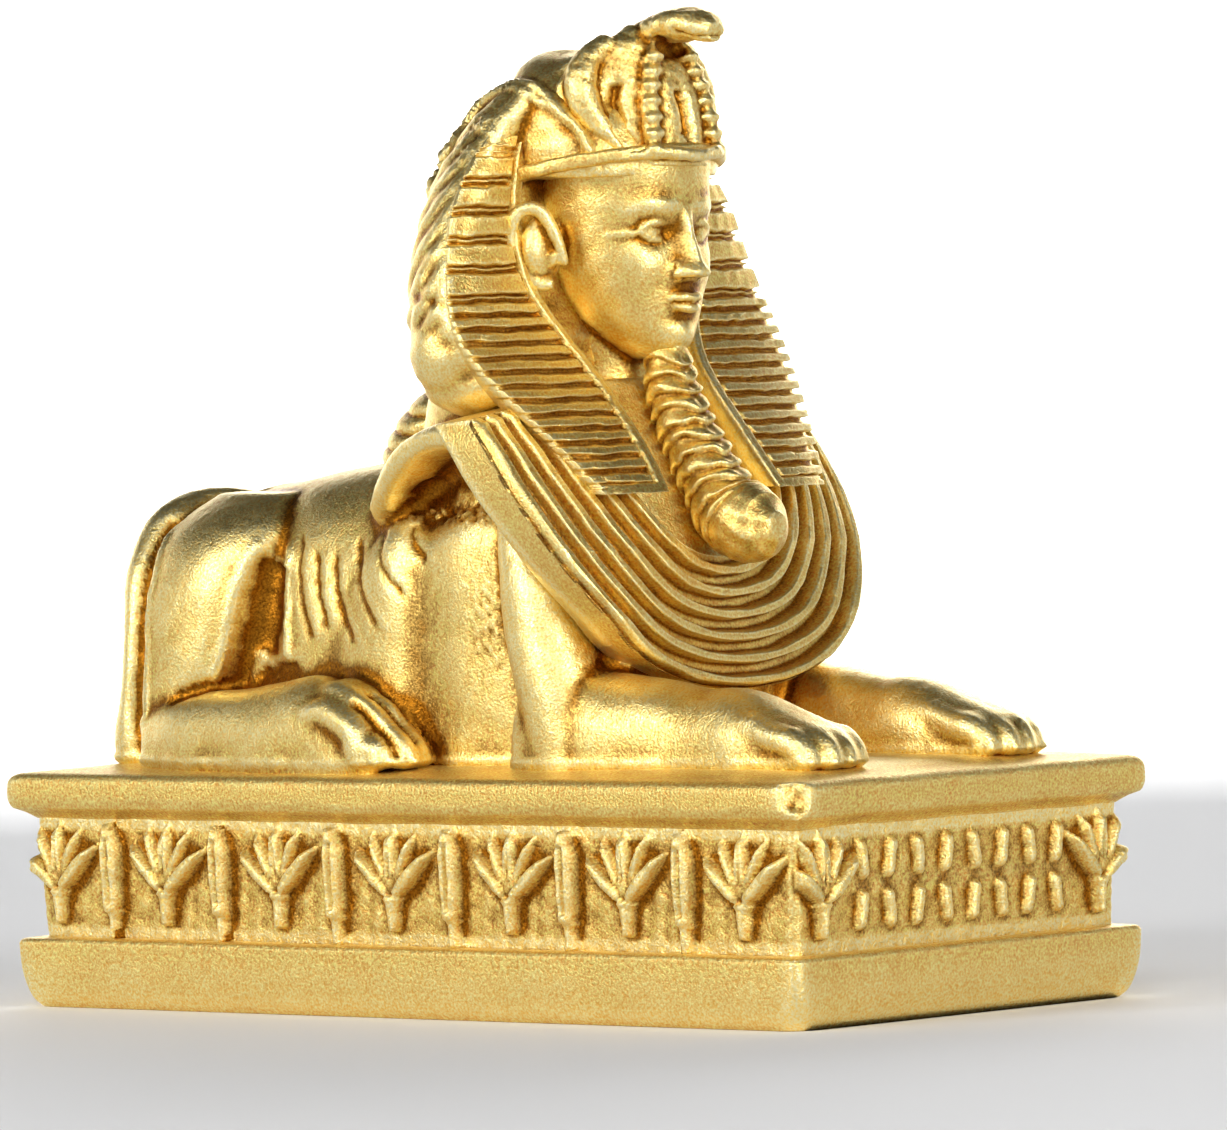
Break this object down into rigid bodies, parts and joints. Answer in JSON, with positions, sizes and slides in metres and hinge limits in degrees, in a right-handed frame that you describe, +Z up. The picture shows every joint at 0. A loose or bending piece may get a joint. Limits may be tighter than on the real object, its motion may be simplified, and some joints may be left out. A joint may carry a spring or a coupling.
{
  "type": "sphinx statue",
  "caption": "Small reclining sphinx with striped headdress, ringed collar and braided beard on a moulded plinth with plant relief.",
  "frame": {"origin": "centre of the plinth's underside", "axes": "-Y is the way the face looks, +X across the plinth to the statue's left, +Z up"},
  "size_m": [0.035, 0.07, 0.065],
  "materials": {
    "gold_paint": "metallic gold paint over cast resin, satin, with a fine sparkle"
  },
  "bodies": {
    "root": {"sphinx_statue": "gold_paint"}
  },
  "joints": []
}
